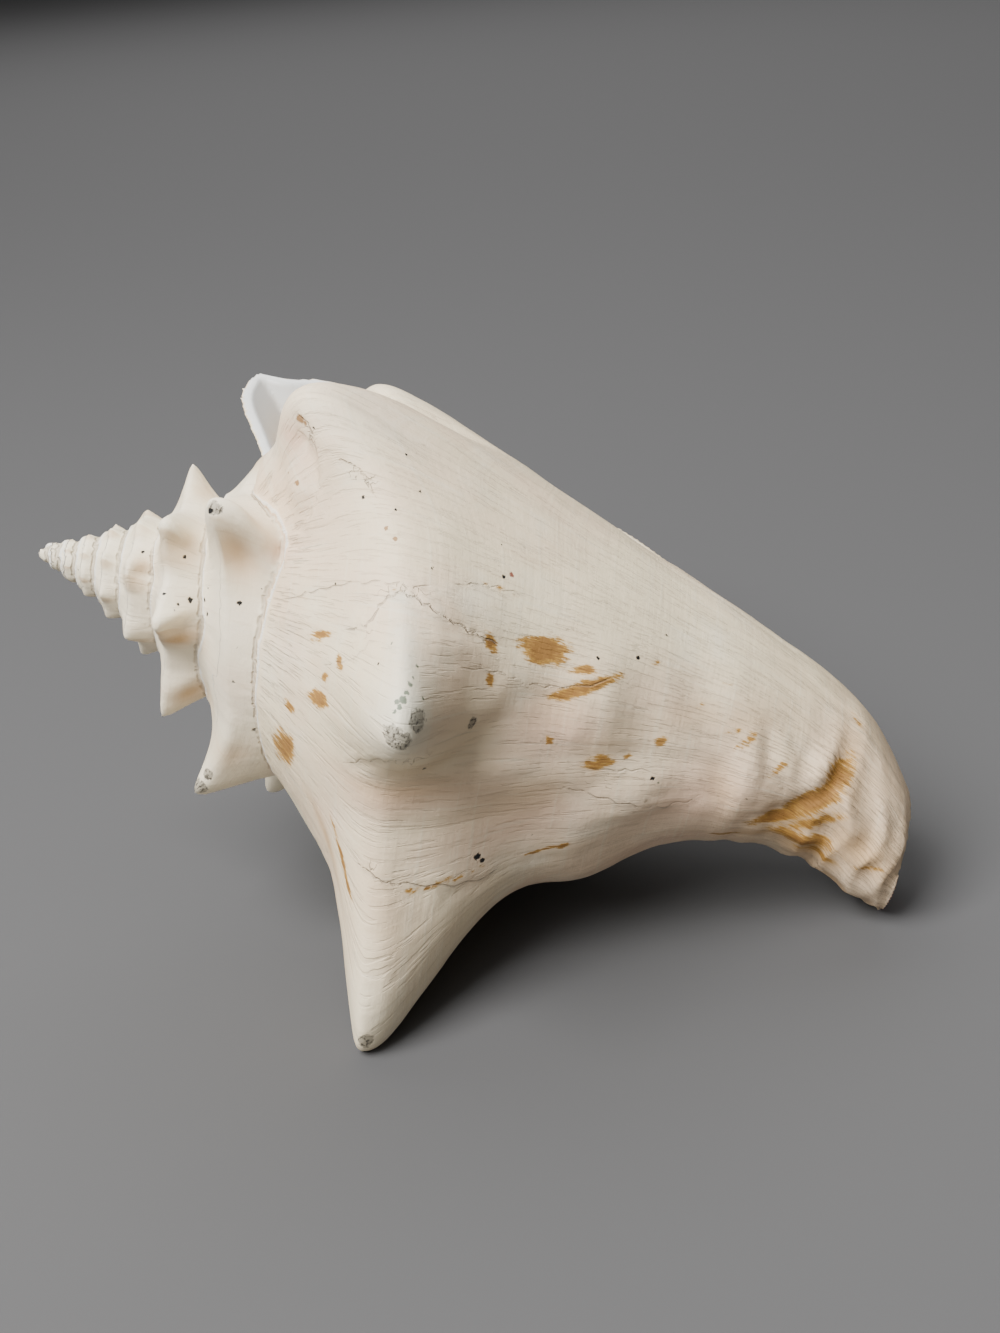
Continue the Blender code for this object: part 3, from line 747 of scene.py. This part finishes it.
def inside_box(data):
    """Keep the finest relief inside the solid model's box."""
    low, high = np.array(CAD_BOX[0]) + EDGE_GAP, np.array(CAD_BOX[1]) - EDGE_GAP
    low[2] = 0.0
    data.vertices.foreach_set("co", np.clip(vertex_rows(data, "co"), low, high).ravel())
    data.update()


class Value:
    """A socket of a node tree that takes part in Python expressions."""

    def __init__(self, board, socket):
        self.board = board
        self.socket = socket

    def maths(self, operation, *others):
        return self.board.node("ShaderNodeMath", {"operation": operation}, (self, *others))

    def __add__(self, other):
        return self.maths("ADD", other)

    def __sub__(self, other):
        return self.maths("SUBTRACT", other)

    def __rsub__(self, other):
        return self.board.node("ShaderNodeMath", {"operation": "SUBTRACT"}, (other, self))

    def __mul__(self, other):
        return self.maths("MULTIPLY", other)

    def __truediv__(self, other):
        return self.maths("DIVIDE", other)

    def __abs__(self):
        return self.maths("ABSOLUTE")

    __radd__ = __add__
    __rmul__ = __mul__

    def most(self, other):
        return self.maths("MAXIMUM", other)

    def ease(self, low, high, start=0.0, end=1.0):
        """Smooth step from start at low to end at high."""
        settings = {"interpolation_type": "SMOOTHSTEP"}
        return self.board.node("ShaderNodeMapRange", settings, (self, low, high, start, end))


class Board:
    """A node tree of a material or of Geometry Nodes."""

    def __init__(self, tree):
        self.tree = tree

    def node(self, kind, settings=None, values=(), names=None, output=0):
        """Add a node: settings first, then its sockets by position or by name."""
        made = self.tree.nodes.new(kind)
        for key, value in (settings or {}).items():
            setattr(made, key, value)
        for key, value in (*enumerate(values), *(names or {}).items()):
            if isinstance(value, Value):
                self.tree.links.new(value.socket, made.inputs[key])
            else:
                made.inputs[key].default_value = value
        return Value(self, made.outputs[output])

    def field(self, name):
        return self.node("ShaderNodeAttribute", {"attribute_name": name}, output=2)

    def noise(self, place, scale, detail=2.0, rough=0.5):
        names = {"Vector": place, "Scale": scale, "Detail": detail, "Roughness": rough}
        return self.node("ShaderNodeTexNoise", None, (), names)

    def woven(self, x, y, z, detail=2.0, rough=0.5):
        """Noise on its own three coordinates, to stretch it along the growth or across it."""
        return self.noise(self.node("ShaderNodeCombineXYZ", None, (x, y, z)), 1.0, detail, rough)

    def cells(self, place, scale, output=0):
        names = {"Vector": place, "Scale": scale}
        return self.node("ShaderNodeTexVoronoi", {"feature": "F1"}, (), names, output)

    def mix(self, share, first, second):
        """One colour over another: sockets 0, 6 and 7 are the share and the colours, output 2 the result."""
        first, second = (c if isinstance(c, Value) else (*c, 1.0) for c in (first, second))
        return self.node("ShaderNodeMix", {"data_type": "RGBA"}, (), {0: share, 6: first, 7: second}, 2)


def growth_lines_tree(material):
    """Geometry Nodes that raise the growth lines, which run with the lip from suture to canal."""
    tree = bpy.data.node_groups.new("growth_lines", "GeometryNodeTree")
    face = tree.interface
    face.new_socket("Geometry", in_out="INPUT", socket_type="NodeSocketGeometry")
    for name, value in (("Line Height", 0.00022), ("Line Pitch", 2.6), ("Line Length", 26.0), ("Seed", 4.0)):
        face.new_socket(name, in_out="INPUT", socket_type="NodeSocketFloat").default_value = value
    face.new_socket("Geometry", in_out="OUTPUT", socket_type="NodeSocketGeometry")
    board = Board(tree)
    given = tree.nodes.new("NodeGroupInput")
    geometry, line_height, pitch, length, seed = (Value(board, socket) for socket in given.outputs[:5])
    travel, across, seam, mouth = (
        board.node("GeometryNodeInputNamedAttribute", {"data_type": "FLOAT"}, (), {"Name": name})
        for name in ("travel", "across", "seam", "mouth"))
    lines = board.woven(travel / pitch, across / length, seed) - 0.5
    strength = (1.0 - mouth) * line_height * seam.ease(SEAM_REACH, 5.0, 0.35, 1.0)
    normal = board.node("GeometryNodeInputNormal")
    height = lines * 2.0 * strength
    move = board.node("ShaderNodeVectorMath", {"operation": "SCALE"}, (normal,), {"Scale": height})
    shifted = board.node("GeometryNodeSetPosition", None, (), {"Geometry": geometry, "Offset": move})
    real = board.node("GeometryNodeRealizeInstances", None, (shifted,))
    painted = board.node("GeometryNodeSetMaterial", None, (), {"Geometry": real, "Material": material})
    tree.links.new(painted.socket, tree.nodes.new("NodeGroupOutput").inputs[0])
    return tree


def with_growth_lines(obj, material, height):
    """Raise the growth lines and keep the result as a plain mesh."""
    tree = growth_lines_tree(material)
    lines = obj.modifiers.new("growth_lines", "NODES")
    lines.node_group = tree
    for item in tree.interface.items_tree:
        if item.name == "Line Height":
            lines[item.identifier] = height
    obj.data = evaluated(obj, obj.name)
    obj.modifiers.clear()


def scattered(board, place, scale, radius, share):
    """Sparse round specks: one in each of that share of the cells, radius in metres."""
    gap = board.cells(place, scale)
    pick = board.node("ShaderNodeSeparateColor", None, (board.cells(place, scale, 1),))
    shown = pick.ease(1.0 - share - 0.001, 1.0 - share)
    return gap.ease(radius * scale, radius * scale * 0.55) * shown


def named_specks(board, place, photo, kind):
    """The specks of one kind that the photograph shows."""
    total = None
    for x, y, radius in SPECKS[kind]:
        centre, _ = photo.hit(x, y)
        if centre is None:
            continue
        gap = board.node("ShaderNodeVectorMath", {"operation": "DISTANCE"}, (place, tuple(centre)), output=1)
        spot = gap.ease(radius * MM * 1.4, radius * MM * 0.9)
        total = spot if total is None else total.most(spot)
    return total


def shell_material(look, photo):
    """Chalky ivory outside with growth lines, stains, specks and worn tips, painted shade in the seam's
    crease and on the undersides of spines and canal, and a smooth pink mouth.
    """
    material = bpy.data.materials.new("shell_surface")
    material.use_nodes = True
    board = Board(material.node_tree)
    place = board.node("ShaderNodeTexCoord", output=3)
    travel, across, turn, seam, mouth, depth, spine, lee = (
        board.field(name) for name in ("travel", "across", "turn", "seam", "mouth", "depth", "spine", "lee"))
    stain, pink, brown, wear, crest, line_side, crack_and_shadow_dark = (
        board.field(name) for name in ("stain", "pink", "brown", "wear", "crest", "line_side", "crack"))
    outside = 1.0 - mouth
    spire = turn.ease(-0.45, -0.75)

    broad = board.noise(place, 17.0, 3.0)
    cloud = board.noise(place, 46.0, 4.0, 0.6)
    blot = board.noise(place, 330.0, 4.0, 0.7)
    grain = board.noise(place, 900.0, 3.0, 0.6)
    streak = board.woven(travel * 0.55, across * 0.035, turn, 5.0, 0.65)
    fine = board.woven(travel * 1.7, across * 0.07, turn, 4.0, 0.6)
    comb = board.woven(travel * 1.15, across * 0.11, turn * 3.0, 3.0, 0.55)
    spiral = board.woven(across * 0.75, travel * 0.02, 3.0, 4.0, 0.6)
    ragged = board.woven(travel * 0.62, across * 0.16, 0.0, 5.0, 0.7)
    bristle = board.woven(travel * 2.4, across * 0.30, 5.0, 3.0, 0.7)
    scratch = board.woven(travel * 1.6, across * 1.6, 1.0, 5.0, 0.75)

    canal = across.ease(110.0, 150.0) * outside
    # Tan on the later-grown lower sides of the spire's spines: partly the shell's own tan, partly painted
    # shade on undersides.
    shaded = lee.ease(0.12, 0.45) * spire * cloud.ease(0.30, 0.55) * 0.5
    # brown is the field of the tan marks, which are partly painted shade.
    shaded = shaded.most(brown * (cloud * 0.8 + 0.6))

    by_suture = seam.ease(13.0, 5.0) * seam.ease(1.8, 2.6) * turn.ease(-0.62, -0.5)
    some_lines = board.noise(place, 14.0).ease(0.50, 0.66) * 0.22
    line_share = (by_suture * 0.75).most(some_lines) * outside
    lines = comb.ease(0.55, 0.64) * line_share
    hair = fine.ease(0.60, 0.68) * line_share
    thread = seam.ease(0.35, 0.7) * seam.ease(1.7, 1.2) * outside * turn.ease(0.5, 0.44)
    # Painted shade in the crease of the seam between whorls, beside the pale thread.
    groove_shade = abs(seam + 0.15).ease(0.6, 0.1) * outside * cloud.ease(0.30, 0.52)

    stainable = outside * look.stain_amount
    soaked = stain + (ragged - 0.5) * 1.5 + (bristle - 0.5) * 0.8 + (blot - 0.5) * 0.5
    stained = soaked.ease(0.50, 0.60) * stain.ease(0.10, 0.30) * stainable
    halo = soaked.ease(0.30, 0.55) * stain.ease(0.08, 0.4) * stainable
    thick = (soaked - 0.15 + (bristle - 0.5) * 1.2).ease(0.30, 0.80)
    faint = board.woven(travel * 0.12, across * 0.04, 7.0, 5.0, 0.7).ease(0.67, 0.75)
    faint = faint * blot.ease(0.42, 0.6) * stainable

    # The darkness of cracks, which also holds painted shadow at one fold edge.
    crack = abs(line_side).ease(0.30, 0.06) * crack_and_shadow_dark * blot.ease(0.36, 0.52)
    worn = (wear + (blot - 0.5) * 1.3).ease(0.46, 0.70) * wear.ease(0.12, 0.4) * outside
    worn_pits = scratch.ease(0.53, 0.60) * worn

    wobble = board.node("ShaderNodeTexNoise", None, (), {"Vector": place, "Scale": 1500.0}, 1)
    shifted = board.node("ShaderNodeVectorMath", {"operation": "MULTIPLY_ADD"}, (wobble, WOBBLE, place))
    dots = scattered(board, shifted, 80.0, 0.00042, 0.26).most(scattered(board, shifted, 190.0, 0.0002, 0.12))
    dots = dots.most(scattered(board, shifted, 150.0, 0.0003, 0.22) * spire) * outside
    kinds = ("black", "brown", "green", "red")
    black, rust, green, red = (named_specks(board, shifted, photo, kind) for kind in kinds)

    coats = (
        (cloud.ease(0.50, 0.70) * 0.45, look.cool),
        (spire * 0.7, look.cool),
        (spine.ease(0.35, 0.9) * 0.35, look.cool),
        (pink * (cloud * 0.6 + 0.5) * outside, look.rose),
        # The canal's tan: partly the shell's own colour, partly painted shade.
        (canal * cloud.ease(0.35, 0.6) * 0.35, look.tan),
        (streak.ease(0.56, 0.70) * 0.16, look.tan),
        (streak.ease(0.44, 0.32) * 0.30, look.cool),
        (spiral.ease(0.56, 0.66) * outside * (1.0 - spire) * 0.22, look.cool),
        # Tan on the spines' undersides and the tan marks, partly painted shade.
        (shaded * outside, look.tan),
        ((lines * 0.26).most(hair * 0.26), look.shade),
        (thread * 0.8, THREAD_WHITE),
        # Painted shade in the seam's crease.
        (groove_shade * 0.42, look.shade),
        (faint * 0.35, look.ochre),
        (halo * 0.42, look.ochre),
        (stained * 0.92, board.mix(thick, look.ochre, look.umber)),
        # Cracks, with painted shadow at one fold edge.
        (crack * 0.55, look.shade),
        (crest * cloud.ease(0.3, 0.6) * 0.5, look.lichen),
        (worn * 0.6, look.worn),
        (worn_pits * 0.75, look.soot),
        (dots * 0.80, board.mix(broad.ease(0.45, 0.55), look.soot, DOT_GREY)),
        (black, SPECK_BLACK),
        (rust * 0.85, look.umber),
        (green * 0.8, SPECK_GREEN),
        (red * 0.9, SPECK_RED),
    )
    base = board.mix(broad.ease(0.40, 0.60), look.ivory, look.blush)
    for share, colour in coats:
        base = board.mix(share, base, colour)

    inner = board.mix(depth.ease(4.0, 22.0), look.rim, look.blush)
    inner = board.mix((depth + (broad - 0.5) * 40.0).ease(14.0, 85.0), inner, look.mouth)
    inner = board.mix(cloud.ease(0.5, 0.75) * 0.25, inner, look.rim)

    height = (streak * 0.16 + fine * 0.30 * (0.1 + line_share) + spiral * 0.22) * outside
    height = height - lines * 0.55 - hair * 0.3 - crack * 0.8 - groove_shade * 0.8
    height = height + (blot - 0.5) * 0.22 * outside + (grain - 0.5) * 0.12 * outside
    height = height - dots * 0.5 - black * 0.8 - worn_pits * 0.9 - worn * 0.3
    height = height + board.woven(travel * 1.9, turn, 0.0, 1.0) * thread * 0.6

    bsdf = material.node_tree.nodes["Principled BSDF"]
    bsdf.inputs["Coat Roughness"].default_value = 0.25
    bsdf.inputs["Specular IOR Level"].default_value = 0.4
    bump = {"Strength": 0.85, "Distance": BUMP, "Height": height}
    fed = {
        "Base Color": board.mix(mouth, base, inner),
        "Roughness": outside * 0.26 + 0.30 + (grain - 0.5) * 0.10 + stained * 0.08 + worn * 0.1,
        "Coat Weight": mouth * 0.35,
        "Normal": board.node("ShaderNodeBump", None, (), bump),
    }
    for name, value in fed.items():
        material.node_tree.links.new(value.socket, bsdf.inputs[name])
    return material


def floor_material(colour):
    """Plain pale matte floor."""
    material = bpy.data.materials.new("floor_paper")
    material.use_nodes = True
    bsdf = material.node_tree.nodes["Principled BSDF"]
    bsdf.inputs["Base Color"].default_value = (*colour, 1.0)
    bsdf.inputs["Roughness"].default_value = 0.85
    return material


def colour_setting(name, description, value):
    """A colour that a user may change."""
    return bpy.props.FloatVectorProperty(name=name, description=description, default=value, size=3,
                                         min=0.0, max=1.0, subtype="COLOR")


def length_setting(name, description, value):
    """A length in metres that a user may change."""
    return bpy.props.FloatProperty(name=name, description=description, default=value, min=0.0,
                                   unit="LENGTH", subtype="DISTANCE", precision=5)


def power_setting(name, description, value):
    """A light's power that a user may change."""
    return bpy.props.FloatProperty(name=name, description=description, default=value, min=0.0, unit="POWER")


class ConchSizes(bpy.types.PropertyGroup):
    """Sizes of the shell."""
    wall: length_setting("Wall", "Thickness of the last whorl's wall", 0.0034)
    lip_wall: length_setting("Lip wall", "Thickness of the wall at the lip", 0.0032)
    line_height: length_setting("Growth line height", "How far the growth lines stand out", 0.0002)


class ConchLook(bpy.types.PropertyGroup):
    """Colours of the shell."""
    ivory: colour_setting("Ivory", "Main colour of the outside", (0.92, 0.775, 0.525))
    blush: colour_setting("Blush", "Faint pink cast of the outside", (0.89, 0.685, 0.475))
    rose: colour_setting("Rose", "Pinker patches of the outside", (0.82, 0.55, 0.385))
    cool: colour_setting("Cool white", "Spire and worn crests", (0.94, 0.855, 0.66))
    # Tan is partly the shell's own colour and partly painted shade on the canal, the spines' undersides and
    # the lower body.
    tan: colour_setting("Tan", "Canal and sheltered sides of the spines", (0.58, 0.375, 0.19))
    # This colour also paints shade in the seam's crease and a shadow line at one fold edge.
    shade: colour_setting("Line shade", "Dirt in the growth lines", (0.42, 0.33, 0.245))
    ochre: colour_setting("Ochre", "Thin stain", (0.53, 0.285, 0.05))
    umber: colour_setting("Umber", "Thick stain", (0.29, 0.13, 0.022))
    lichen: colour_setting("Crest tint", "Greenish white of the front crest", (0.72, 0.74, 0.62))
    worn: colour_setting("Worn", "Grey of the worn tips", (0.17, 0.15, 0.115))
    soot: colour_setting("Soot", "Dark of the pits", (0.05, 0.045, 0.038))
    rim: colour_setting("Rim", "Cool white of the lip's inside edge", (0.80, 0.80, 0.77))
    mouth: colour_setting("Mouth", "Rose of the mouth's depth", (0.74, 0.37, 0.27))
    stain_amount: bpy.props.FloatProperty(name="Stain amount", description="How strongly the stains show",
                                          default=1.0, min=0.0, max=1.0, subtype="FACTOR")


class ConchStage(bpy.types.PropertyGroup):
    """Floor and light."""
    floor: colour_setting("Floor", "Plain floor", (0.087, 0.086, 0.087))
    key_power: power_setting("Key light", "Power of the soft overhead light", 38.0)
    fill_power: power_setting("Fill light", "Power of the soft front light", 4.2)
    back_power: power_setting("Back light", "Power of the wide light over the far floor", 105.0)


def shell_fields(data):
    """Where each point is on the shell: growth, place on the profile, mouth or outside, spine and seam."""
    points, normals = vertex_rows(data, "co"), vertex_rows(data, "normal")
    guide = Guide(2.0, 110)
    rows, columns, facing = guide.locate(points, normals)
    angle = guide.read(np.repeat(guide.angles[:, None], guide.count, 1), rows, columns)
    covered = points[:, 0] - suture(angle / 360.0 + 1.0)[0]
    inner_wall = smooth(-0.2, 0.3, facing) * smooth(-30.0, 0.0, angle)
    glazed = smooth(-126.0, -146.0, angle) * smooth(2.0, 7.0, covered) * smooth(-345.0, -335.0, angle)
    return {
        "turn": angle / 360.0,
        "travel": guide.read(np.repeat(guide.travel[:, None], guide.count, 1), rows, columns),
        "across": guide.read(guide.arc, rows, columns),
        "spine": guide.read(guide.in_spine, rows, columns),
        "lee": guide.read(guide.lee, rows, columns),
        "mouth": np.maximum(inner_wall, glazed),
        "depth": np.where(inner_wall > 0.5, (LIP_ANGLE - angle) * 1.4, (-138.0 - angle) * 0.9 + 18.0),
        "seam": seam_field(data, points, angle),
    }


class CONCH_OT_shell(bpy.types.Operator):
    """Build the shell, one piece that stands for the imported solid"""
    bl_idname = "conch.shell"
    bl_label = "Shell"

    def execute(self, context):
        scene = context.scene
        data = united(coil_body(scene.conch_sizes))
        fields = shell_fields(data)
        data.transform(rest_matrix())
        photo = Photo(data)
        points, normals = vertex_rows(data, "co"), vertex_rows(data, "normal")
        side, near, step, fields["crack"] = line_fields(photo, points)
        fields["line_side"] = side
        lumps = mark_field(photo, points, LUMPS, True)
        points = relief(points, normals, fields, lumps, side, near, step)
        data.vertices.foreach_set("co", points.ravel())
        data.update()
        photo = Photo(data)
        # The tan marks, stored in the brown field, are partly painted shade.
        for name, marks in (("stain", STAINS), ("pink", PINKS), ("brown", TAN_AND_SHADE_MARKS)):
            fields[name] = mark_field(photo, points, marks)
        fields["wear"] = spot_field(photo, points, WORN)
        fields["crest"] = spot_field(photo, points, np.linspace(*WORN_CREST, CREST_SPOTS))
        for name, values in fields.items():
            store(data, name, values)
        shell = bpy.data.objects.new("shell_skin", data)
        scene.collection.objects.link(shell)
        material = shell_material(scene.conch_look, photo)
        with_growth_lines(shell, material, scene.conch_sizes.line_height)
        inside_box(shell.data)
        shell.data.shade_smooth()
        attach(shell, "root")
        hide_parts(NODE)
        return {"FINISHED"}


def soft_light(name, place, target, size, power):
    """A square soft light that faces a point."""
    light = bpy.data.lights.new(name, "AREA")
    light.shape = "SQUARE"
    light.size = size
    light.energy = power
    obj = bpy.data.objects.new(name, light)
    bpy.context.scene.collection.objects.link(obj)
    obj.location = place
    obj.rotation_euler = (Vector(target) - Vector(place)).to_track_quat("-Z", "Y").to_euler()


class CONCH_OT_stage(bpy.types.Operator):
    """Lay the floor and set the light and the photograph's camera"""
    bl_idname = "conch.stage"
    bl_label = "Floor, light and camera"

    def execute(self, context):
        scene = context.scene
        stage = scene.conch_stage
        mesh = bmesh.new()
        bmesh.ops.create_grid(mesh, x_segments=1, y_segments=1, size=FLOOR_HALF)
        data = bpy.data.meshes.new("floor")
        mesh.to_mesh(data)
        mesh.free()
        data.materials.append(floor_material(stage.floor))
        floor = bpy.data.objects.new("floor", data)
        scene.collection.objects.link(floor)
        for name, place, target, size, power in LIGHTS:
            soft_light(name, place, target, size, getattr(stage, power))
        world = bpy.data.worlds.new("soft_room")
        world.use_nodes = True
        background = world.node_tree.nodes["Background"]
        background.inputs[0].default_value = ROOM_COLOUR
        background.inputs[1].default_value = ROOM_STRENGTH
        scene.world = world
        camera = bpy.data.cameras.new("photo_camera")
        camera.sensor_fit = "AUTO"
        camera.sensor_width = SENSOR
        camera.lens = FOCAL_PIXELS / PHOTO_HEIGHT * SENSOR
        camera.clip_start = 0.01
        camera.dof.use_dof = False
        view = bpy.data.objects.new("photo_camera", camera)
        view.matrix_world = photo_camera_matrix()
        scene.collection.objects.link(view)
        scene.camera = view
        return {"FINISHED"}


class CONCH_PT_panel(bpy.types.Panel):
    """The conch's steps and settings"""
    bl_idname = "CONCH_PT_panel"
    bl_label = "Conch"
    bl_space_type = "VIEW_3D"
    bl_region_type = "UI"
    bl_category = "Conch"

    def draw(self, context):
        layout = self.layout
        for step in (CONCH_OT_shell, CONCH_OT_stage):
            layout.operator(step.bl_idname)
        for group in (context.scene.conch_sizes, context.scene.conch_look, context.scene.conch_stage):
            box = layout.box()
            for name in group.__annotations__:
                box.prop(group, name)


CLASSES = (ConchSizes, ConchLook, ConchStage, CONCH_OT_shell, CONCH_OT_stage, CONCH_PT_panel)


def register():
    """Make the classes and their settings known to Blender."""
    for item in CLASSES:
        bpy.utils.register_class(item)
    bpy.types.Scene.conch_sizes = bpy.props.PointerProperty(type=ConchSizes)
    bpy.types.Scene.conch_look = bpy.props.PointerProperty(type=ConchLook)
    bpy.types.Scene.conch_stage = bpy.props.PointerProperty(type=ConchStage)


def unregister():
    """Undo register."""
    for name in ("conch_sizes", "conch_look", "conch_stage"):
        delattr(bpy.types.Scene, name)
    for item in reversed(CLASSES):
        bpy.utils.unregister_class(item)


def main():
    register()
    bpy.ops.conch.shell()
    bpy.ops.conch.stage()


if __name__ == "__main__":
    main()
